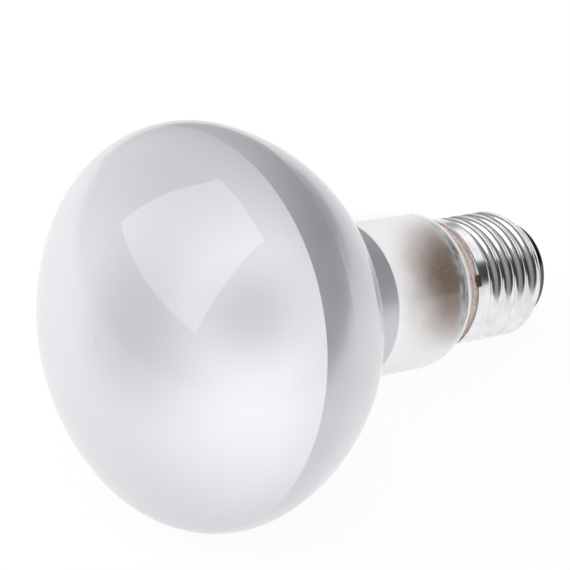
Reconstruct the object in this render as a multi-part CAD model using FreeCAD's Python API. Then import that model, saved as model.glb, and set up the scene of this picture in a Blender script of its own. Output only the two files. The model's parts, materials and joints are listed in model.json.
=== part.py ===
"""Incandescent reflector bulb, 80 mm across, with a 27 mm round-thread screw cap.

Each piece is built upright on the bulb's own axis: the contact tip is at z = 0 and the face is at
the top. At the end the whole bulb is laid down as it comes to rest, on the glass just behind its
widest ring and on one crest of the thread. All sizes are in millimetres and all angles in degrees.
"""
import FreeCAD, Part
from math import acos, asin, atan2, cos, degrees, hypot, radians, sin, sqrt
import os

# Glass bulb: arcs that meet smoothly, from the face to the neck
bulb_d = 80.0
widest_z = 89.9
crown_r = 50.0
rim_r = 14.4
rim_back_deg = 14.0
back_r = 38.0
back_end_deg = 36.0
throat_r = 20.6
neck_fillet_r = 10.4
neck_d = 32.8

# Neck end inside the cap, with the funnel and the sealed exhaust tube of the stem
shoulder_r = 8.7
stub_clearance = 0.824
stub_fillet_r = 1.5
stub_fillet_below_lip = 0.353
stub_end_z = 12.6
stub_edge_r = 0.65
stub_wall = 1.3
funnel_throat_d = 9.2
press_z = 27.0
exhaust_d = 4.8
exhaust_tip_z = 8.0

# Cap shell: one thin sheet, rolled with a round thread
cap_height = 25.0
sheet = 0.3
thread_d = 26.2
thread_pitch = 3.629
thread_round_share = 0.28245
crest_z = 5.82
collar_step = 0.1
collar_length = 3.4
lip_height = 0.9
lip_flare_r = 1.6
shell_bottom_z = 3.5
shell_end_r = 2.0
shell_end_depth = 2.5
root_flat = 0.02
ridge_foot = 0.6
ridge_turns_below = 2
runout_z = 5.9
runout_length = 1.2
runout_lean_deg = 2.5

# Cement between the neck and the collar
cement_depth = 3.1
cement_height = 2.1
cement_ripple_r = 1.0
cement_overlap = 1.0

# Insulator, centre contact and solder
insulator_top_z = 5.6
insulator_step = 0.18
insulator_edge_r = 0.8
insulator_face_z = 1.3
insulator_flat_d = 11.2
insulator_clearance = 0.05
eyelet_d = 3.2
eyelet_hole_d = 2.4
eyelet_top_z = 3.0
contact_d = 10.4
contact_z = 0.6
contact_thickness = 0.4
contact_edge_r = 0.25
solder_d = 4.8
solder_plug = 1.0

# Leads and the side solder
centre_lead_d = 0.6
side_lead_d = 0.5
lead_gap = 0.5
lead_bend_r = 0.8
centre_lead_turn = 0.5
centre_lead_entry = 0.4
centre_lead_end_z = 0.8
side_azimuth_deg = 120.5
side_lead_turn = 2.1
side_lead_leave = 0.8
side_lead_over_up = 0.55
side_lead_over_in = 0.18
side_lead_end_up = 0.1
side_lead_end_out = 0.52
side_solder_length = 2.6
side_solder_d = 1.1
side_solder_out = 0.25
side_solder_up = 0.05

# Sizes that follow from those above
rim_centre_r = bulb_d / 2 - rim_r
crown_centre_z = widest_z - sqrt((crown_r - rim_r) ** 2 - rim_centre_r ** 2)
crown_end_deg = degrees(atan2(widest_z - crown_centre_z, rim_centre_r))
back_centre_r = rim_centre_r - (back_r - rim_r) * cos(radians(rim_back_deg))
back_centre_z = widest_z + (back_r - rim_r) * sin(radians(rim_back_deg))
thread_round_r = thread_round_share * thread_pitch
root_rise = sqrt(4 * thread_round_r ** 2 - (thread_pitch / 2) ** 2)
crest_centre_r = thread_d / 2 - thread_round_r
root_centre_r = crest_centre_r + root_rise
flank_deg = degrees(atan2(thread_pitch / 2, root_rise))
core_r = root_centre_r - thread_round_r + root_flat
collar_d = thread_d + 2 * collar_step
collar_z = cap_height - collar_length
collar_top_z = cap_height - lip_height
lip_outer_r = collar_d / 2 + lip_flare_r - sqrt(lip_flare_r ** 2 - lip_height ** 2)
shell_end_z = shell_bottom_z + shell_end_r
shell_end_centre_r = core_r - shell_end_r
shell_hole_d = thread_d - 2 * shell_end_depth
stub_r = core_r - sheet - stub_clearance
stub_fillet_z = cap_height - stub_fillet_below_lip
insulator_d = shell_hole_d - 2 * insulator_step
insulator_seat_z = contact_z + contact_thickness
lead_r = exhaust_d / 2 + lead_gap + centre_lead_d / 2
side_lead_r = (stub_r + core_r - sheet) / 2


def at(radius, height):
    """A point in the section plane, given by its distance from the axis and its height."""
    return FreeCAD.Vector(radius, 0, height)


def on_circle(centre, radius, angle):
    """The point of a circle in the section plane at an angle above the outward direction."""
    return centre + at(radius * cos(radians(angle)), radius * sin(radians(angle)))


def arc(centre, radius, start, end):
    """An arc in the section plane, between two angles above the outward direction."""
    points = [on_circle(centre, radius, angle) for angle in (start, (start + end) / 2, end)]
    return Part.Arc(*points).toShape()


def ends(part):
    """First and last point of an arc, or a point itself twice."""
    if isinstance(part, FreeCAD.Vector):
        return part, part
    return part.Vertexes[0].Point, part.Vertexes[-1].Point


def outline(*parts):
    """A closed wire through arcs and points in order, with straight lines across the gaps."""
    edges = []
    for part, following in zip(parts, parts[1:] + parts[:1]):
        if isinstance(part, Part.Shape):
            edges.append(part)
        start = ends(part)[1]
        end = ends(following)[0]
        if start.distanceToPoint(end) > 1e-7:
            edges.append(Part.LineSegment(start, end).toShape())
    return Part.Wire(edges)


def turned(*parts):
    """A solid of revolution about the axis, from its half section."""
    return Part.Face(outline(*parts)).revolve(at(0, 0), at(0, 1), 360)


def cylinder(diameter, bottom, top):
    return Part.makeCylinder(diameter / 2, top - bottom, at(0, bottom))


def glass_outside():
    """The glass from the crown down to the stub inside the cap, as a chain of tangent arcs."""
    rim = at(rim_centre_r, widest_z)
    back = at(back_centre_r, back_centre_z)
    throat = on_circle(back, back_r - throat_r, -back_end_deg)
    neck_r = neck_d / 2
    throat_end_deg = degrees(acos((neck_r + neck_fillet_r - throat.x) / (throat_r + neck_fillet_r)))
    fillet = on_circle(throat, throat_r + neck_fillet_r, -throat_end_deg)
    stub_fillet = at(stub_r + stub_fillet_r, stub_fillet_z)
    shoulder_centre_r = neck_r - shoulder_r
    shoulder_end_deg = degrees(acos((stub_fillet.x - shoulder_centre_r) / (shoulder_r + stub_fillet_r)))
    shoulder = on_circle(stub_fillet, shoulder_r + stub_fillet_r, 180 - shoulder_end_deg)
    return [
        arc(at(0, crown_centre_z), crown_r, 90, crown_end_deg),
        arc(rim, rim_r, crown_end_deg, -rim_back_deg),
        arc(back, back_r, -rim_back_deg, -back_end_deg),
        arc(throat, throat_r, -back_end_deg, -throat_end_deg),
        arc(fillet, neck_fillet_r, 180 - throat_end_deg, 180),
        arc(shoulder, shoulder_r, 0, -shoulder_end_deg),
        arc(stub_fillet, stub_fillet_r, 180 - shoulder_end_deg, 180),
        arc(at(stub_r - stub_edge_r, stub_end_z + stub_edge_r), stub_edge_r, 0, -90),
    ]


def stem_underside():
    """The flared funnel of the stem and the rounded tip of the exhaust tube, seen from below."""
    mouth_r = stub_r - stub_wall
    bore_r = funnel_throat_d / 2
    flare_r = mouth_r - bore_r
    tube_r = exhaust_d / 2
    return [
        arc(at(mouth_r, stub_end_z + flare_r), flare_r, -90, -180),
        at(bore_r, press_z),
        at(tube_r, press_z),
        arc(at(0, exhaust_tip_z + tube_r), tube_r, 0, -90),
    ]


def make_glass_bulb():
    """The sealed bulb: neck, stem and exhaust tube are fused into one piece of glass."""
    return turned(*glass_outside(), *stem_underside())


def thread_ridge(inset):
    """One round crest of the thread, swept along its helix. Inset gives the inner skin of the sheet."""
    crest_r = thread_round_r - inset
    root_r = thread_round_r + inset
    half_pitch = thread_pitch / 2
    foot_deg = degrees(acos((root_r - root_flat) / root_r))
    crest = at(crest_centre_r, 0)
    upper_root = at(root_centre_r, half_pitch)
    lower_root = at(root_centre_r, -half_pitch)
    base_r = core_r - inset - ridge_foot
    base_half = half_pitch - ridge_foot
    section = outline(
        arc(crest, crest_r, -flank_deg, flank_deg),
        arc(upper_root, root_r, 180 + flank_deg, 180 + foot_deg),
        at(base_r, base_half),
        at(base_r, -base_half),
        arc(lower_root, root_r, 180 - foot_deg, 180 - flank_deg),
    )
    start = crest_z - ridge_turns_below * thread_pitch
    height = collar_z + thread_pitch - start
    helix = Part.makeHelix(thread_pitch, height, crest_centre_r)
    ridge = Part.Wire(helix).makePipeShell([section], True, True)
    ridge.translate(at(0, start))
    return ridge


def thread_room(inset):
    """The room for the thread, a leaning cone at the contact end, so that the thread runs out there."""
    depth = collar_d / 2 - core_r
    start_z = runout_z - runout_length + inset * hypot(depth, runout_length) / depth
    cone = turned(
        at(0, start_z),
        at(core_r, start_z),
        at(core_r + 3 * depth, start_z + 3 * runout_length),
        at(core_r + 3 * depth, cap_height),
        at(0, cap_height),
    )
    cone.rotate(at(0, runout_z), FreeCAD.Vector(0, 1, 0), runout_lean_deg)
    return cone.common(cylinder(4 * core_r, 0, collar_z))


def cap_form(inset):
    """The cap as a full body: thread, rounded end, plain collar and flared lip. Inset as above."""
    core = turned(
        at(0, collar_z),
        at(0, shell_bottom_z + inset),
        arc(at(shell_end_centre_r, shell_end_z), shell_end_r - inset, -90, 0),
        at(core_r - inset, collar_z),
    )
    threaded = core.fuse(thread_ridge(inset).common(thread_room(inset)))
    collar_r = collar_d / 2 - inset
    edge = at(collar_d / 2 - thread_round_r, collar_z)
    flare = at(collar_d / 2 + lip_flare_r, collar_top_z)
    flare_r = lip_flare_r + inset
    lip_deg = degrees(asin(lip_height / flare_r))
    collar = turned(
        at(0, cap_height),
        at(0, collar_z - thread_round_r),
        arc(edge, thread_round_r - inset, -flank_deg, 0),
        arc(flare, flare_r, 180, 180 - lip_deg),
    )
    return threaded.fuse(collar)


def make_cap_shell():
    """The sheet between the outer and the inner form, open at the lip and at the contact end."""
    hole = cylinder(shell_hole_d, 0, insulator_top_z)
    return cap_form(0).cut(cap_form(sheet)).cut(hole)


def make_cap_insulator():
    """Black glass moulded into the shell's end, with a hole for the contact's eyelet."""
    end_centre = at(shell_end_centre_r, shell_end_z)
    inner_end_r = shell_end_r - sheet
    hole_r = shell_hole_d / 2
    top_r = core_r - sheet - insulator_clearance
    hole_deg = degrees(acos((hole_r - shell_end_centre_r) / inner_end_r))
    top_deg = degrees(acos((top_r - shell_end_centre_r) / inner_end_r))
    edge_r = insulator_edge_r
    edge = at(insulator_d / 2 - edge_r, insulator_face_z + edge_r)
    shell_edge_z = shell_end_z - sqrt(shell_end_r ** 2 - (hole_r - shell_end_centre_r) ** 2)
    return turned(
        at(eyelet_d / 2, insulator_seat_z),
        at(eyelet_d / 2, insulator_top_z),
        at(top_r, insulator_top_z),
        arc(end_centre, inner_end_r, -top_deg, -hole_deg),
        at(hole_r, shell_edge_z),
        arc(edge, edge_r, 0, -90),
        at(insulator_flat_d / 2, insulator_seat_z),
    )


def make_centre_contact():
    """Pressed brass plate with an eyelet that holds it in the insulator."""
    edge = at(contact_d / 2 - contact_edge_r, contact_z + contact_edge_r)
    return turned(
        at(eyelet_hole_d / 2, contact_z),
        arc(edge, contact_edge_r, -90, 0),
        at(contact_d / 2, insulator_seat_z),
        at(eyelet_d / 2, insulator_seat_z),
        at(eyelet_d / 2, eyelet_top_z),
        at(eyelet_hole_d / 2, eyelet_top_z),
    )


def make_centre_solder(lead):
    """A dome of solder that fills the mouth of the eyelet and takes the end of the lead."""
    base_r = solder_d / 2
    dome_r = (base_r ** 2 + contact_z ** 2) / (2 * contact_z)
    half_deg = degrees(asin(base_r / dome_r))
    dome = turned(
        arc(at(0, dome_r), dome_r, -90, half_deg - 90),
        at(0, contact_z),
    )
    plug = cylinder(eyelet_hole_d, contact_z, contact_z + solder_plug)
    return dome.fuse(plug).cut(lead).removeSplitter()


def wire_along(points, diameter, azimuth):
    """A round wire through points in one section plane, with equal bends, turned to its azimuth."""
    edges = []
    last = points[0]
    for before, corner, after in zip(points, points[1:], points[2:]):
        back = (before - corner).normalize()
        on = (after - corner).normalize()
        half = acos(max(-1, min(1, back.dot(on)))) / 2
        reach = lead_bend_r / sin(half) * cos(half)
        start = corner + back * reach
        end = corner + on * reach
        inward = (back + on).normalize()
        middle = corner + inward * (lead_bend_r / sin(half) - lead_bend_r)
        edges.append(Part.LineSegment(last, start).toShape())
        edges.append(Part.Arc(start, middle, end).toShape())
        last = end
    edges.append(Part.LineSegment(last, points[-1]).toShape())
    along = (points[1] - points[0]).normalize()
    section = Part.Wire(Part.Circle(points[0], along, diameter / 2).toShape())
    wire = Part.Wire(edges).makePipeShell([section], True, True)
    wire.rotate(at(0, 0), at(0, 1), azimuth)
    return wire


def make_centre_lead():
    """The lead from the press, past the exhaust tube and through the eyelet to the solder."""
    points = [
        at(lead_r, press_z),
        at(lead_r, exhaust_tip_z + centre_lead_turn),
        at(0, insulator_top_z - centre_lead_entry),
        at(0, centre_lead_end_z),
    ]
    return wire_along(points, centre_lead_d, side_azimuth_deg + 180)


def make_side_lead():
    """The lead from the press, under the glass and up beside the neck, bent over the lip."""
    points = [
        at(lead_r, press_z),
        at(lead_r, stub_end_z),
        at(side_lead_r, stub_end_z - side_lead_turn),
        at(side_lead_r, cap_height - side_lead_leave),
        at(lip_outer_r - side_lead_over_in, cap_height + side_lead_over_up),
        at(lip_outer_r + side_lead_end_out, cap_height + side_lead_end_up),
    ]
    return wire_along(points, side_lead_d, side_azimuth_deg)


def make_side_solder(*neighbours):
    """A rounded bead of solder along the lip, which joins the end of the side lead to the shell."""
    bead_r = side_solder_d / 2
    centre = at(lip_outer_r + side_solder_out, cap_height + side_solder_up)
    half_deg = degrees((side_solder_length / 2 - bead_r) / centre.x)
    section = Part.Face(Part.Wire(Part.Circle(centre, FreeCAD.Vector(0, 1, 0), bead_r).toShape()))
    section.rotate(at(0, 0), at(0, 1), -half_deg)
    bead = section.revolve(at(0, 0), at(0, 1), 2 * half_deg)
    for side in (-half_deg, half_deg):
        ball = Part.makeSphere(bead_r, centre)
        ball.rotate(at(0, 0), at(0, 1), side)
        bead = bead.fuse(ball)
    bead.rotate(at(0, 0), at(0, 1), side_azimuth_deg)
    for neighbour in neighbours:
        bead = bead.cut(neighbour)
    return bead.removeSplitter()


def make_cap_cement(glass, lead):
    """Basing cement in the collar, up to two soft ripples that show between the lip and the glass."""
    collar_r = collar_d / 2 - sheet
    flare = at(collar_d / 2 + lip_flare_r, collar_top_z)
    flare_r = lip_flare_r + sheet
    lip_deg = degrees(asin(lip_height / flare_r))
    lip_edge = on_circle(flare, flare_r, 180 - lip_deg)
    inner_r = stub_r - cement_overlap
    bottom_z = cap_height - cement_depth
    top_z = cap_height + cement_height
    ripple = cement_height / 2
    bulge_deg = degrees(asin(ripple / 2 / cement_ripple_r))
    ripples = [
        arc(at(lip_edge.x - cement_ripple_r * cos(radians(bulge_deg)), cap_height + ripple * place),
            cement_ripple_r, -bulge_deg, bulge_deg)
        for place in (0.5, 1.5)
    ]
    block = turned(
        at(inner_r, bottom_z),
        at(collar_r, bottom_z),
        arc(flare, flare_r, 180, 180 - lip_deg),
        *ripples,
        at(inner_r, top_z),
    )
    return block.cut(glass).cut(lead)


def leaning_on(radius, height, round_r):
    """How far the axis leans up when a ring of this section and one crest of the thread lie level."""
    along = height - crest_z
    across = radius - crest_centre_r
    return degrees(asin((round_r - thread_round_r) / hypot(along, across)) + atan2(across, along))


def resting_tilt():
    """The lean on the table: it touches the rim's arc, or the back's arc where the lean goes past it."""
    on_rim = leaning_on(rim_centre_r, widest_z, rim_r)
    if on_rim <= rim_back_deg:
        return on_rim
    return leaning_on(back_centre_r, back_centre_z, back_r)


def laid_down(pieces):
    """Turns every piece about the table's edge into the resting pose, centred over the origin."""
    tilt = resting_tilt()
    for piece in pieces.values():
        piece.rotate(at(0, 0), FreeCAD.Vector(0, 1, 0), 90 - tilt)
    box = Part.makeCompound(list(pieces.values())).optimalBoundingBox(False)
    shift = FreeCAD.Vector(-box.Center.x, -box.Center.y, -box.ZMin)
    for piece in pieces.values():
        piece.translate(shift)
    return pieces


def build():
    """Every piece by its name, lying as the bulb comes to rest."""
    glass = make_glass_bulb()
    shell = make_cap_shell()
    centre_lead = make_centre_lead()
    side_lead = make_side_lead()
    cement = make_cap_cement(glass, side_lead)
    return laid_down({
        "glass_bulb": glass,
        "cap_shell": shell,
        "cap_cement": cement,
        "cap_insulator": make_cap_insulator(),
        "centre_contact": make_centre_contact(),
        "centre_solder": make_centre_solder(centre_lead),
        "centre_lead": centre_lead,
        "side_lead": side_lead,
        "side_solder": make_side_solder(shell, side_lead, cement),
    })


os.makedirs("parts", exist_ok=True)
for name, piece in build().items():
    piece.exportStep(f"parts/{name}.step")
    print(name, len(piece.Solids), "solid", round(piece.Volume, 1), "mm3", "valid" if piece.isValid() else "INVALID")
print("the axis leans up by", round(resting_tilt(), 4), "degrees")
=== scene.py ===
# %% [markdown]
# An incandescent reflector bulb, 80 mm across, lying on a white table.
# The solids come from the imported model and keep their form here. Blender gives each piece the finish of
# the real one: one blown glass bulb that is milky, mirrored and clear in turn, a nickel-plated screw
# cap, cement, black glass, brass, solder and copper.

# %% Load the solids
import json
from math import asin, cos, degrees, pi, radians, sin

import bpy
from mathutils import Euler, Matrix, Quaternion, Vector

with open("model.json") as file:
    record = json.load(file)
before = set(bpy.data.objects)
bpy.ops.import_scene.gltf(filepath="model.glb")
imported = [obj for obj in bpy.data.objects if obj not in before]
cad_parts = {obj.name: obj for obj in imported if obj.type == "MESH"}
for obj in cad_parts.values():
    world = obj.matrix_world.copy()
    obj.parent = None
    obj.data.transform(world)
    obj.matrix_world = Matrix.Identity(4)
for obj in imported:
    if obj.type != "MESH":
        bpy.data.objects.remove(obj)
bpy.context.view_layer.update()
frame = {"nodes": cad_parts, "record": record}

nodes = frame["nodes"]
print("pieces:", ", ".join(sorted(nodes)))

# %% [markdown]
# Every finish on a bulb follows the bulb's own axis: the mirror starts at one height, the frosting ends at
# another. The bulb lies on its side, so its axis leans. The record holds the contact's place and the
# direction of the axis, and both are read from there, so the patterns stay right if the bulb leans more or
# less.

# %% Find the bulb's own axis
mm = 0.001
mounts = {mount["name"]: mount for mount in frame["record"]["mounts"]}
tip = Vector(mounts["end_contact"]["pos_m"])
axis = -Vector(mounts["end_contact"]["axis"]).normalized()
lean = asin(axis.z)
print(f"the axis leans up by {degrees(lean):.2f} degrees")

# %% [markdown]
# Colours are written as sRGB hex values, as a designer reads them, and Blender's sockets want linear
# light. One function does that conversion.


# %% Helper for colours
def linear(code):
    """A linear colour from an sRGB hex code."""
    parts = [int(code[i:i + 2], 16) / 255 for i in (1, 3, 5)]
    return [p / 12.92 if p <= 0.04045 else ((p + 0.055) / 1.055) ** 2.4 for p in parts] + [1.0]


print(f"the grey #808080 is {linear('#808080')[0]:.3f} in linear light")

# %% [markdown]
# A material is a tree of nodes. One small function adds a node, sets what it is told and fills its inputs
# with plain values or with links. A node given as an input stands for the first of its outputs that is in
# use, so that each material reads from top to bottom like a recipe.


# %% Helper for nodes
def add(tree, kind, inputs=None, **settings):
    """A new node with its settings, its input values and its links."""
    node = tree.nodes.new("ShaderNode" + kind)
    for name, value in settings.items():
        setattr(node, name, value)
    for key, value in (inputs or {}).items():
        if isinstance(value, bpy.types.Node):
            value = next(socket for socket in value.outputs if socket.enabled)
        if isinstance(value, bpy.types.NodeSocket):
            tree.links.new(value, node.inputs[key])
        else:
            node.inputs[key].default_value = value
    return node


# %% [markdown]
# Every material starts empty, lays out its patterns in millimetres on the bulb's own axis and goes on a
# piece. The patterns read Object coordinates, and a Mapping node turns them onto the leaning axis, with
# the end of the contact at zero.


# %% Helpers for materials
def new_material(name):
    """An empty material and its node tree."""
    material = bpy.data.materials.new(name)
    material.use_nodes = True
    material.node_tree.nodes.clear()
    return material, material.node_tree


def own_place(tree):
    """Points in millimetres on the bulb's own axis: x, y across and z up from the contact."""
    return add(tree, "Mapping", {
        "Vector": add(tree, "TexCoord").outputs["Object"],
        "Location": tip,
        "Rotation": Euler((0, pi / 2 - lean, 0)),
        "Scale": (mm, mm, mm),
    }, vector_type="TEXTURE")


def dress(name, material):
    """Gives a piece its material."""
    piece = nodes[name]
    piece.data.materials.clear()
    piece.data.materials.append(material)
    print(f"{name}: {material.name}")


# %% [markdown]
# The bulb is soda-lime glass, blown in one piece. Its face is etched on the inside, which makes it milky
# while the outside stays polished. Behind the widest ring the inside is coated with aluminium vapour, seen
# from outside as soft grey metal under polished glass. The neck is etched again, with a brown haze inside
# near the cap that is painted darker on one side as painted shade, and the last few millimetres at the cap
# are clear.
#
# One shader with a clear coat does this well: the coat is the polished outside, and the layer below
# changes from milky to metal and back along the axis. Real transparency would only show the inside of
# a mirror, and costs a lot of time.

# %% Glass: the places where its finish changes, in millimetres above the contact
mirror_top_z, mirror_top_blur = 94.0, 0.06
mirror_end_z, mirror_end_blur = 51.2, 0.08
clear_top_z, clear_top_blur = 33.6, 1.2

glass, tree = new_material("soda_lime_glass_etched_and_mirrored")
place = own_place(tree)
height = add(tree, "SeparateXYZ", {"Vector": place}).outputs["Z"]
on_face, above_neck, off_cap = [
    add(tree, "MapRange", {
        "Value": height, "From Min": z - blur, "From Max": z + blur,
    }, interpolation_type="SMOOTHSTEP")
    for z, blur in (
        (mirror_top_z, mirror_top_blur),
        (mirror_end_z, mirror_end_blur),
        (clear_top_z, clear_top_blur),
    )
]
print("mirror from", mirror_end_z, "to", mirror_top_z, "mm")

# %% [markdown]
# An etched face is not evenly bright. The bowl behind it throws its light through the milky wall, most of
# it on one side. Four soft balls of painted light and shade in the face's colour, placed in the bulb's own
# millimetres, stand for that: each has a centre, a reach and a strength.

# %% Glass: the milky face, with painted light and shade
face_light, face_limit = 0.58, 0.96
face_tint = (0.985, 0.99, 1.04)
# Painted light and shade: each pool lightens or darkens the face's colour, the last three as shade.
pools = [
    ((-6.6, 36.4, 98.5), 47.5, 0.23),
    ((-11.1, 13.8, 130.0), 35.1, -0.36),
    ((-18.9, -1.8, 85.2), 35.6, -0.52),
    ((-24.9, 35.3, 116.9), 25.5, -1.2),
]
face_tone = face_light
for centre, reach, strength in pools:
    away = add(tree, "VectorMath", {0: place, 1: centre}, operation="DISTANCE")
    pool = add(tree, "MapRange", {
        "Value": away, "From Max": reach, "To Min": strength, "To Max": 0.0,
    }, interpolation_type="SMOOTHERSTEP")
    face_tone = add(tree, "Math", {0: face_tone, 1: pool}, operation="ADD")
face_tone = add(tree, "Math", {0: face_tone, 1: face_limit}, operation="MINIMUM")
milk_with_painted_light = add(tree, "VectorMath", {0: face_tint, "Scale": face_tone}, operation="SCALE")
print("pools of light and shade on the face:", len(pools))

# %% [markdown]
# The haze on the neck is brown and drawn darkest on one side near the cap. It reaches highest there and fades
# upward and round to both sides. The brown is a deposit inside the glass; its fading round to the sides is
# painted light and shade, standing for the light that comes through the milky glass and up from the table.
# A painted picture would need its own map of the neck, so two soft steps make it instead: one by how far a
# point faces that side, one by its height, which is raised away from that side and drifts in soft clouds.


# %% Glass: where the haze lies, with painted shade on one side
def sideways(azimuth):
    """The level direction at an angle in degrees, from x towards y."""
    return Vector((cos(radians(azimuth)), sin(radians(azimuth)), 0.0))


shade_side_azimuth = 127
shade_side_start, shade_side_full = 0.41, 1.05
haze_top_z, haze_full_z = 53.5, 37.3
haze_drift, shade_side_bulge, haze_cloud = 4.0, 16.0, 6.25

across = add(tree, "VectorMath", {0: place, 1: (1, 1, 0)}, operation="MULTIPLY")
outward = add(tree, "VectorMath", {0: across}, operation="NORMALIZE")
facing = add(tree, "VectorMath", {0: outward, 1: sideways(shade_side_azimuth)}, operation="DOT_PRODUCT")
# Painted shade: the haze is drawn fully only on the side facing this way and is painted lighter round the
# sides.
on_painted_shade_side = add(tree, "MapRange", {
    "Value": facing, "From Min": shade_side_start, "From Max": shade_side_full,
}, interpolation_type="SMOOTHSTEP")
clouds = add(tree, "TexNoise", {"Vector": place, "Scale": 1 / haze_cloud, "Detail": 3.0})
drift = add(tree, "Math", {0: clouds, 1: haze_drift, 2: -haze_drift / 2}, operation="MULTIPLY_ADD")
bulge = add(tree, "Math", {0: facing, 1: -shade_side_bulge, 2: shade_side_bulge}, operation="MULTIPLY_ADD")
drifted = add(tree, "Math", {0: height, 1: drift}, operation="ADD")
raised = add(tree, "Math", {0: drifted, 1: bulge}, operation="ADD")
below_haze_top = add(tree, "MapRange", {
    "Value": raised, "From Min": haze_top_z, "From Max": haze_full_z,
}, interpolation_type="SMOOTHSTEP")
haze_and_painted_shade = add(tree, "Math", {0: below_haze_top, 1: on_painted_shade_side}, operation="MULTIPLY")
print("haze darkest at", shade_side_azimuth, "degrees round the axis")

# %% [markdown]
# Nearly every finish from here on is two colours that change into each other, mostly in soft clouds. One
# helper does that: the first colour where a pattern is low, the second where it is high.


# %% Helper for mottled colours
def mottled(tree, pattern, low, high, first, second):
    """The first colour where the pattern is below low, the second where it is above high."""
    share = add(tree, "MapRange", {
        "Value": pattern, "From Min": low, "From Max": high,
    }, interpolation_type="SMOOTHSTEP")
    return add(tree, "Mix", {0: share, 6: linear(first), 7: linear(second)}, data_type="RGBA")


# %% [markdown]
# A few bright specks in the haze are pits of the etching, about a third of a millimetre wide. Below the
# haze the glass is clear, and its colour there is a painted reflection of dark surroundings: grey streaks
# three times as long as they are high. Its rounded edge is drawn with a thin painted highlight.

# %% Glass: the neck's colours, in the haze and in the clear band at the cap
reflection_streak_size = (3.33, 3.33, 1.04)
edge_highlight_top_z, edge_highlight_z = 30.9, 30.1
speck_spacing, speck_radius, speck_core, speck_share = 1.11, 0.178, 0.067, 0.35

stretched = add(tree, "VectorMath", {0: place, 1: reflection_streak_size}, operation="DIVIDE")
reflection_streaks = add(tree, "TexNoise", {"Vector": stretched, "Scale": 1.0, "Detail": 4.0})
# Painted reflection: grey streaks of dark surroundings seen in the clear glass.
painted_reflection = mottled(tree, reflection_streaks, 0.38, 0.62, "#4E4E52", "#97989D")
# Painted highlight: a thin near-white line along the glass's rounded edge.
edge_highlight = add(tree, "MapRange", {
    "Value": height, "From Min": edge_highlight_top_z, "From Max": edge_highlight_z,
}, interpolation_type="SMOOTHSTEP")
clear = add(tree, "Mix", {0: edge_highlight, 6: painted_reflection, 7: linear("#EDE8E5")}, data_type="RGBA")
to_speck = add(tree, "TexVoronoi", {"Vector": place, "Scale": 1 / speck_spacing})
specks = add(tree, "MapRange", {
    "Value": to_speck,
    "From Min": speck_radius / speck_spacing, "From Max": speck_core / speck_spacing,
    "To Max": speck_share,
}, interpolation_type="SMOOTHSTEP")
brown = add(tree, "Mix", {0: specks, 6: linear("#70594B"), 7: linear("#E0D6D0")}, data_type="RGBA")
hazed = add(tree, "Mix", {0: off_cap, 6: clear, 7: brown}, data_type="RGBA")
neck_colour = add(tree, "Mix", {0: haze_and_painted_shade, 6: linear("#FAF9F9"), 7: hazed}, data_type="RGBA")
print("specks", speck_spacing, "mm apart, clear glass below", clear_top_z, "mm")

# %% [markdown]
# The mirror is part metal and part white, because the thin vapour coat scatters some light, and it varies
# in wide soft streaks. The grain of the etching is too fine to show, so it is drawn nine grains to the
# millimetre, and only as a trace.

# %% Glass: the colour all over
mirror_metal = 0.55
streak_size, grain_size = 20.0, 1 / 9

streaks = add(tree, "TexNoise", {"Vector": place, "Scale": 1 / streak_size, "Detail": 2.0})
silver = mottled(tree, streaks, 0.3, 0.7, "#CBCBD2", "#D5D5DA")
below_face = add(tree, "Mix", {0: above_neck, 6: neck_colour, 7: silver}, data_type="RGBA")
smooth_colour = add(tree, "Mix", {0: on_face, 6: below_face, 7: milk_with_painted_light}, data_type="RGBA")
grain = add(tree, "TexNoise", {"Vector": place, "Scale": 1 / grain_size, "Detail": 2.0})
etched = add(tree, "MapRange", {
    "Value": grain, "From Min": 0.3, "From Max": 0.7, "To Min": 0.985,
}, interpolation_type="SMOOTHSTEP")
glass_colour = add(tree, "VectorMath", {0: smooth_colour, "Scale": etched}, operation="SCALE")
off_face = add(tree, "Math", {0: 1.0, 1: on_face}, operation="SUBTRACT")
mirrored = add(tree, "Math", {0: above_neck, 1: off_face}, operation="MULTIPLY")
print("the mirror is", mirror_metal, "metal")

# %% [markdown]
# Blown glass is never quite flat: its polished outside has waves some 30 mm long, which bend reflections a
# little. They go into the coat alone, and the coat is nearly free of roughness. What lies below scatters.

# %% Glass: the polished coat over all of it
etched_roughness, mirror_roughness = 0.6, 0.42
wave_size, wave_depth = 28.6, 0.3 * mm

waves = add(tree, "TexNoise", {"Vector": place, "Scale": 1 / wave_size, "Detail": 1.0})
add(tree, "OutputMaterial", {"Surface": add(tree, "BsdfPrincipled", {
    "Base Color": glass_colour,
    "Metallic": add(tree, "Math", {0: mirrored, 1: mirror_metal}, operation="MULTIPLY"),
    "Roughness": add(tree, "MapRange", {
        "Value": mirrored, "To Min": etched_roughness, "To Max": mirror_roughness,
    }),
    "IOR": 1.5,
    "Coat Weight": 1.0,
    "Coat Roughness": 0.02,
    "Coat IOR": 1.5,
    "Coat Normal": add(tree, "Bump", {"Strength": 0.06, "Distance": wave_depth, "Height": waves}),
})})
dress("glass_bulb", glass)

# %% [markdown]
# The cap is thin brass sheet, rolled with its thread and plated with bright nickel. Rolling leaves lines
# that run round the cap. They are too fine to show, so they are drawn nine to the millimetre, as noise
# that reads only the height. Handling has dulled the plate here and there.

# %% Nickel plate
line_spacing, line_depth = 1 / 9, 0.02 * mm
dulled_size = 2.86

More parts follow.
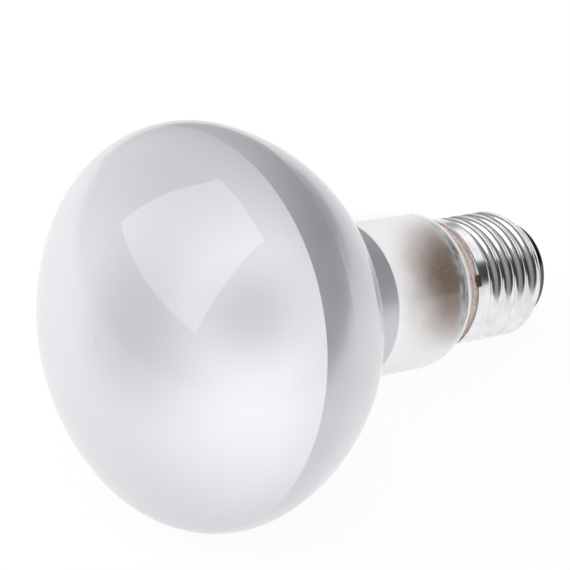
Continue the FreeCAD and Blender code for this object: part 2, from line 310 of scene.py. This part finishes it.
nickel, tree = new_material("bright_nickel_plate_on_rolled_brass")
place = own_place(tree)
height = add(tree, "SeparateXYZ", {"Vector": place}).outputs["Z"]
lines = add(tree, "Math", {0: height, 1: line_spacing}, operation="DIVIDE")
rolled = add(tree, "TexNoise", {
    "Vector": add(tree, "CombineXYZ", {"Z": lines}), "Scale": 1.0, "Detail": 3.0,
})
dulled = add(tree, "TexNoise", {"Vector": place, "Scale": 1 / dulled_size, "Detail": 4.0})
add(tree, "OutputMaterial", {"Surface": add(tree, "BsdfPrincipled", {
    "Base Color": mottled(tree, dulled, 0.35, 0.7, "#EFEFF1", "#E2E2E4"),
    "Metallic": 1.0,
    "Roughness": add(tree, "MapRange", {
        "Value": dulled, "From Min": 0.3, "From Max": 0.75, "To Min": 0.18, "To Max": 0.24,
    }, interpolation_type="SMOOTHSTEP"),
    "Normal": add(tree, "Bump", {"Strength": 0.08, "Distance": line_depth, "Height": rolled}),
})})
dress("cap_shell", nickel)

# %% [markdown]
# Basing cement is a baked resin with marble powder: dull and grainy, with a few pores. It is drawn with
# brown and pale rings round the axis, about three quarters of a millimetre apart. The rings and pores are
# shallow, so colour and a bump do for them, and the solid keeps its form. A Wave Texture turns through 20
# radians in each unit, so its scale is worked out from that and the rings' spacing.

# %% Cement
ring_spacing = 0.748
wave_turn_per_unit = 20
powder_size, pore_spacing, pore_radius = 0.4545, 0.714, 0.157
pore_share, powder_depth = 0.6, 0.15 * mm

cement, tree = new_material("baked_basing_cement")
place = own_place(tree)
powder = add(tree, "TexNoise", {"Vector": place, "Scale": 1 / powder_size, "Detail": 6.0})
rings = add(tree, "TexWave", {
    "Vector": place,
    "Scale": 2 * pi / wave_turn_per_unit / ring_spacing,
    "Distortion": 0.5,
    "Detail": 2.0,
}, wave_type="RINGS", rings_direction="Z").outputs["Fac"]
pale = add(tree, "MapRange", {
    "Value": rings, "From Min": 0.25, "From Max": 0.75,
}, interpolation_type="SMOOTHSTEP")
to_pore = add(tree, "TexVoronoi", {"Vector": place, "Scale": 1 / pore_spacing})
pores = add(tree, "MapRange", {
    "Value": to_pore, "From Max": pore_radius / pore_spacing, "To Min": -pore_share, "To Max": 0.0,
}, interpolation_type="SMOOTHSTEP")
pored = add(tree, "Math", {0: powder, 1: pores}, operation="ADD")
add(tree, "OutputMaterial", {"Surface": add(tree, "BsdfPrincipled", {
    "Base Color": add(tree, "Mix", {
        0: pale,
        6: mottled(tree, powder, 0.3, 0.7, "#765241", "#8F6C59"),
        7: mottled(tree, powder, 0.3, 0.7, "#B9A9A1", "#D8CCC6"),
    }, data_type="RGBA"),
    "Roughness": 0.7,
    "Normal": add(tree, "Bump", {"Strength": 0.5, "Distance": powder_depth, "Height": pored}),
})})
dress("cap_cement", cement)

# %% [markdown]
# The insulator is black lead glass pressed hot into the end of the cap. Its skin is glossy and a little
# wavy, and lead glass reflects more than window glass does, so its IOR is higher.

# %% Black glass
ripple_size, ripple_depth = 2.0, 0.1 * mm

black, tree = new_material("black_moulded_glass")
ripple = add(tree, "TexNoise", {"Vector": own_place(tree), "Scale": 1 / ripple_size, "Detail": 2.0})
add(tree, "OutputMaterial", {"Surface": add(tree, "BsdfPrincipled", {
    "Base Color": linear("#0B0B0D"),
    "IOR": 1.75,
    "Roughness": add(tree, "MapRange", {
        "Value": ripple, "From Min": 0.3, "From Max": 0.7, "To Min": 0.05, "To Max": 0.16,
    }, interpolation_type="SMOOTHSTEP"),
    "Normal": add(tree, "Bump", {"Strength": 0.3, "Distance": ripple_depth, "Height": ripple}),
})})
dress("cap_insulator", black)

# %% [markdown]
# The contact plate is pressed brass, bright and a little tarnished in patches of about a millimetre. The
# tarnish makes it both darker and duller.

# %% Brass
tarnish_size = 1.11

brass, tree = new_material("pressed_brass")
tarnish = add(tree, "TexNoise", {"Vector": own_place(tree), "Scale": 1 / tarnish_size, "Detail": 5.0})
add(tree, "OutputMaterial", {"Surface": add(tree, "BsdfPrincipled", {
    "Base Color": mottled(tree, tarnish, 0.3, 0.9, "#D9B772", "#A9884F"),
    "Metallic": 1.0,
    "Roughness": add(tree, "MapRange", {
        "Value": tarnish, "From Min": 0.3, "From Max": 0.7, "To Min": 0.18, "To Max": 0.4,
    }, interpolation_type="SMOOTHSTEP"),
})})
dress("centre_contact", brass)

# %% [markdown]
# Solder sets with a dull skin, wrinkled every 0.4 mm or so. Both solders have that skin, so one helper
# gives its pattern, its roughness and its relief.


# %% Helper for the skin of solder
wrinkle_size, wrinkle_depth = 0.385, 0.06 * mm


def wrinkled(tree):
    """The pattern of the skin, with the roughness and the relief that it gives."""
    skin = add(tree, "TexNoise", {"Vector": own_place(tree), "Scale": 1 / wrinkle_size, "Detail": 4.0})
    dullness = add(tree, "MapRange", {
        "Value": skin, "From Min": 0.3, "From Max": 0.7, "To Min": 0.3, "To Max": 0.5,
    }, interpolation_type="SMOOTHSTEP")
    relief = add(tree, "Bump", {"Strength": 0.4, "Distance": wrinkle_depth, "Height": skin})
    return skin, dullness, relief


# %% [markdown]
# The dome on the contact is clean tin solder. The bead at the lip is drawn dark brown, and its darker
# patches are less metallic.

# %% Clean solder
solder, tree = new_material("tin_solder")
skin, dullness, relief = wrinkled(tree)
add(tree, "OutputMaterial", {"Surface": add(tree, "BsdfPrincipled", {
    "Base Color": mottled(tree, skin, 0.3, 0.7, "#8E8E92", "#B4B4B6"),
    "Metallic": 1.0,
    "Roughness": dullness,
    "Normal": relief,
})})
dress("centre_solder", solder)

# %% Dark brown solder
dark_solder, tree = new_material("tin_solder_dark_brown")
skin, dullness, relief = wrinkled(tree)
add(tree, "OutputMaterial", {"Surface": add(tree, "BsdfPrincipled", {
    "Base Color": mottled(tree, skin, 0.35, 0.65, "#3E3530", "#6E655F"),
    "Metallic": add(tree, "MapRange", {
        "Value": skin, "From Min": 0.35, "From Max": 0.65, "To Min": 0.3, "To Max": 0.9,
    }, interpolation_type="SMOOTHSTEP"),
    "Roughness": dullness,
    "Normal": relief,
})})
dress("side_solder", dark_solder)

# %% [markdown]
# The leads are bare copper wire, drawn through a die, which leaves it bright. Heat has darkened it in
# patches.

# %% Copper wire
heated_size = 1.43

copper, tree = new_material("bare_copper_wire")
heat = add(tree, "TexNoise", {"Vector": own_place(tree), "Scale": 1 / heated_size, "Detail": 3.0})
add(tree, "OutputMaterial", {"Surface": add(tree, "BsdfPrincipled", {
    "Base Color": mottled(tree, heat, 0.35, 0.7, "#C98A66", "#7C4E3A"),
    "Metallic": 1.0,
    "Roughness": add(tree, "MapRange", {
        "Value": heat, "From Min": 0.3, "From Max": 0.7, "To Min": 0.25, "To Max": 0.42,
    }, interpolation_type="SMOOTHSTEP"),
})})
for piece_name in ("centre_lead", "side_lead"):
    dress(piece_name, copper)

# %% [markdown]
# The table and the room each look one way to the camera and another way to polished metal and glass, so
# both need to know which rays see them. The table is white. To the camera it is nearly pure white, with a
# trace of paint left that keeps the bulb's shadow. Polished surfaces see it as a bright top that grows
# dimmer away from the bulb, the way a lit sweep of paper does.


# %% Table
def ray_masks(tree):
    """1 for the camera's own rays, and 1 for the rays that polished metal or glass sends out."""
    rays = add(tree, "LightPath")
    polished = add(tree, "Math", {
        0: rays.outputs["Is Glossy Ray"], 1: rays.outputs["Is Transmission Ray"],
    }, operation="MAXIMUM")
    return rays.outputs["Is Camera Ray"], polished


floor_size = 6.0
bright_reach, dim_reach = 0.30, 1.00
bright_top, dim_top = 1.0, 0.40
camera_white = 0.94

bpy.ops.object.select_all(action="DESELECT")
bpy.ops.mesh.primitive_plane_add(size=floor_size)
floor = bpy.context.object
floor.name = "table"
print("table:", floor_size, "m wide")

# %% Table: its paint
table, tree = new_material("white_table")
camera_rays, polished_rays = ray_masks(tree)
spot = add(tree, "TexCoord").outputs["Object"]
away = add(tree, "VectorMath", {0: spot}, operation="LENGTH")
lit_top = add(tree, "MapRange", {
    "Value": away, "From Min": bright_reach, "From Max": dim_reach, "To Min": bright_top, "To Max": dim_top,
}, interpolation_type="SMOOTHSTEP")
painted = add(tree, "BsdfDiffuse", {"Color": linear("#F4F4F4")})
white = add(tree, "Emission", {"Color": linear("#FFFFFF"), "Strength": 1.0})
seen_by_camera = add(tree, "MixShader", {0: camera_white, 1: painted, 2: white})
seen_by_polish = add(tree, "Emission", {"Color": linear("#FFFFFF"), "Strength": lit_top})
seen_else = add(tree, "MixShader", {0: camera_rays, 1: painted, 2: seen_by_camera})
seen = add(tree, "MixShader", {0: polished_rays, 1: seen_else, 2: seen_by_polish})
add(tree, "OutputMaterial", {"Surface": seen})
floor.data.materials.append(table)
print("table bright within", bright_reach, "m of the bulb")

# %% [markdown]
# The room gives even white light, but what polished metal sees of it is dim: nearly black on the camera's
# right and grey on its left. The dark band along the mirrored bowl and the dark ovals in the roots of the
# thread are reflections of the black side, and the white below them is the table. A picture of a real
# room would do this too, but a soft step from one side to the other can be read and changed.

# %% Room
dark_azimuth = 130
dark_start, dark_full = 0.0, 0.70
black_side, grey_side = 0.03, 0.30
ambient, background = 0.95, 1.0

world = bpy.data.worlds.new("light_room")
bpy.context.scene.world = world
world.use_nodes = True
tree = world.node_tree
tree.nodes.clear()
camera_rays, polished_rays = ray_masks(tree)
toward = add(tree, "TexCoord").outputs["Generated"]
facing = add(tree, "VectorMath", {0: toward, 1: sideways(dark_azimuth)}, operation="DOT_PRODUCT")
dim_room = add(tree, "MapRange", {
    "Value": facing, "From Min": dark_full, "From Max": dark_start, "To Min": black_side, "To Max": grey_side,
}, interpolation_type="SMOOTHSTEP")
plain_room = add(tree, "MapRange", {"Value": camera_rays, "To Min": ambient, "To Max": background})
strength = add(tree, "Mix", {"Factor": polished_rays, 2: plain_room, 3: dim_room}, data_type="FLOAT")
sky = add(tree, "Background", {"Color": linear("#FFFFFF"), "Strength": strength})
add(tree, "OutputWorld", {"Surface": sky})
print("room darkest at", dark_azimuth, "degrees, ambient light", ambient)

# %% [markdown]
# The large softbox gives the face its four-cornered reflection. Its corners were found by following the
# reflection's corners from the camera back off the curve of the face.


# %% Softbox
def area_lamp(name, size, radiance, location):
    """A rectangular lamp that the camera doesn't see. Radiance 1 looks pure white in a mirror."""
    lamp = bpy.data.lights.new(name, "AREA")
    lamp.shape = "RECTANGLE"
    lamp.size, lamp.size_y = size
    lamp.energy = radiance * pi * size[0] * size[1]
    holder = bpy.data.objects.new(name, lamp)
    holder.location = location
    holder.visible_camera = False
    bpy.context.scene.collection.objects.link(holder)
    print(f"{name}: {size[0]} by {size[1]} m")
    return holder


softbox_size, softbox_radiance = (0.603, 0.821), 2.0
softbox_place = (0.366, -0.177, 0.641)
softbox_towards = Vector((-0.918, 0.351, -0.160))
softbox_roll = radians(-4)

softbox = area_lamp("softbox", softbox_size, softbox_radiance, softbox_place)
softbox_turn = softbox_towards.to_track_quat("-Z", "Y") @ Quaternion((0, 0, 1), softbox_roll)
softbox.rotation_euler = softbox_turn.to_euler()

# %% [markdown]
# The white streaks in the upper roots of the thread come from a panel behind the bulb that faces down.
# Light linking lets it reach only the cap's shell and insulator, because the mirrored bowl shows no
# reflection of it in the photo.

# %% Panel behind the cap
panel_size, panel_radiance = (2.3, 3.1), 1.0
panel_place = (-1.75, -0.75, 0.8)

panel = area_lamp("panel", panel_size, panel_radiance, panel_place)
lit_by_panel = bpy.data.collections.new("lit_by_panel")
for piece_name in ("cap_shell", "cap_insulator"):
    lit_by_panel.objects.link(nodes[piece_name])
panel.light_linking.receiver_collection = lit_by_panel

# %% [markdown]
# The camera stands in front of the face, above it and off to one side, near enough for some perspective.
# It is placed by a point to aim at, two angles and a distance, because those can be tuned one at a time.

# %% Camera
camera_aim = Vector((7.63, -0.70, 37.35)) * mm
camera_distance = 673.4 * mm
camera_azimuth, camera_elevation = radians(49.04), radians(37.20)
back = Vector((
    cos(camera_elevation) * cos(camera_azimuth),
    cos(camera_elevation) * sin(camera_azimuth),
    sin(camera_elevation),
))
lens = bpy.data.cameras.new("camera")
lens.sensor_width = 36.0
lens.lens = 217.13
camera = bpy.data.objects.new("camera", lens)
camera.location = camera_aim + back * camera_distance
camera.rotation_euler = (-back).to_track_quat("-Z", "Y").to_euler()
bpy.context.scene.collection.objects.link(camera)
bpy.context.scene.camera = camera
print(f"camera: {camera_distance:.3f} m away, lens {lens.lens:.0f} mm")

# %% [markdown]
# The plain Standard view keeps white as white.

# %% Finish
bpy.context.scene.view_settings.view_transform = "Standard"
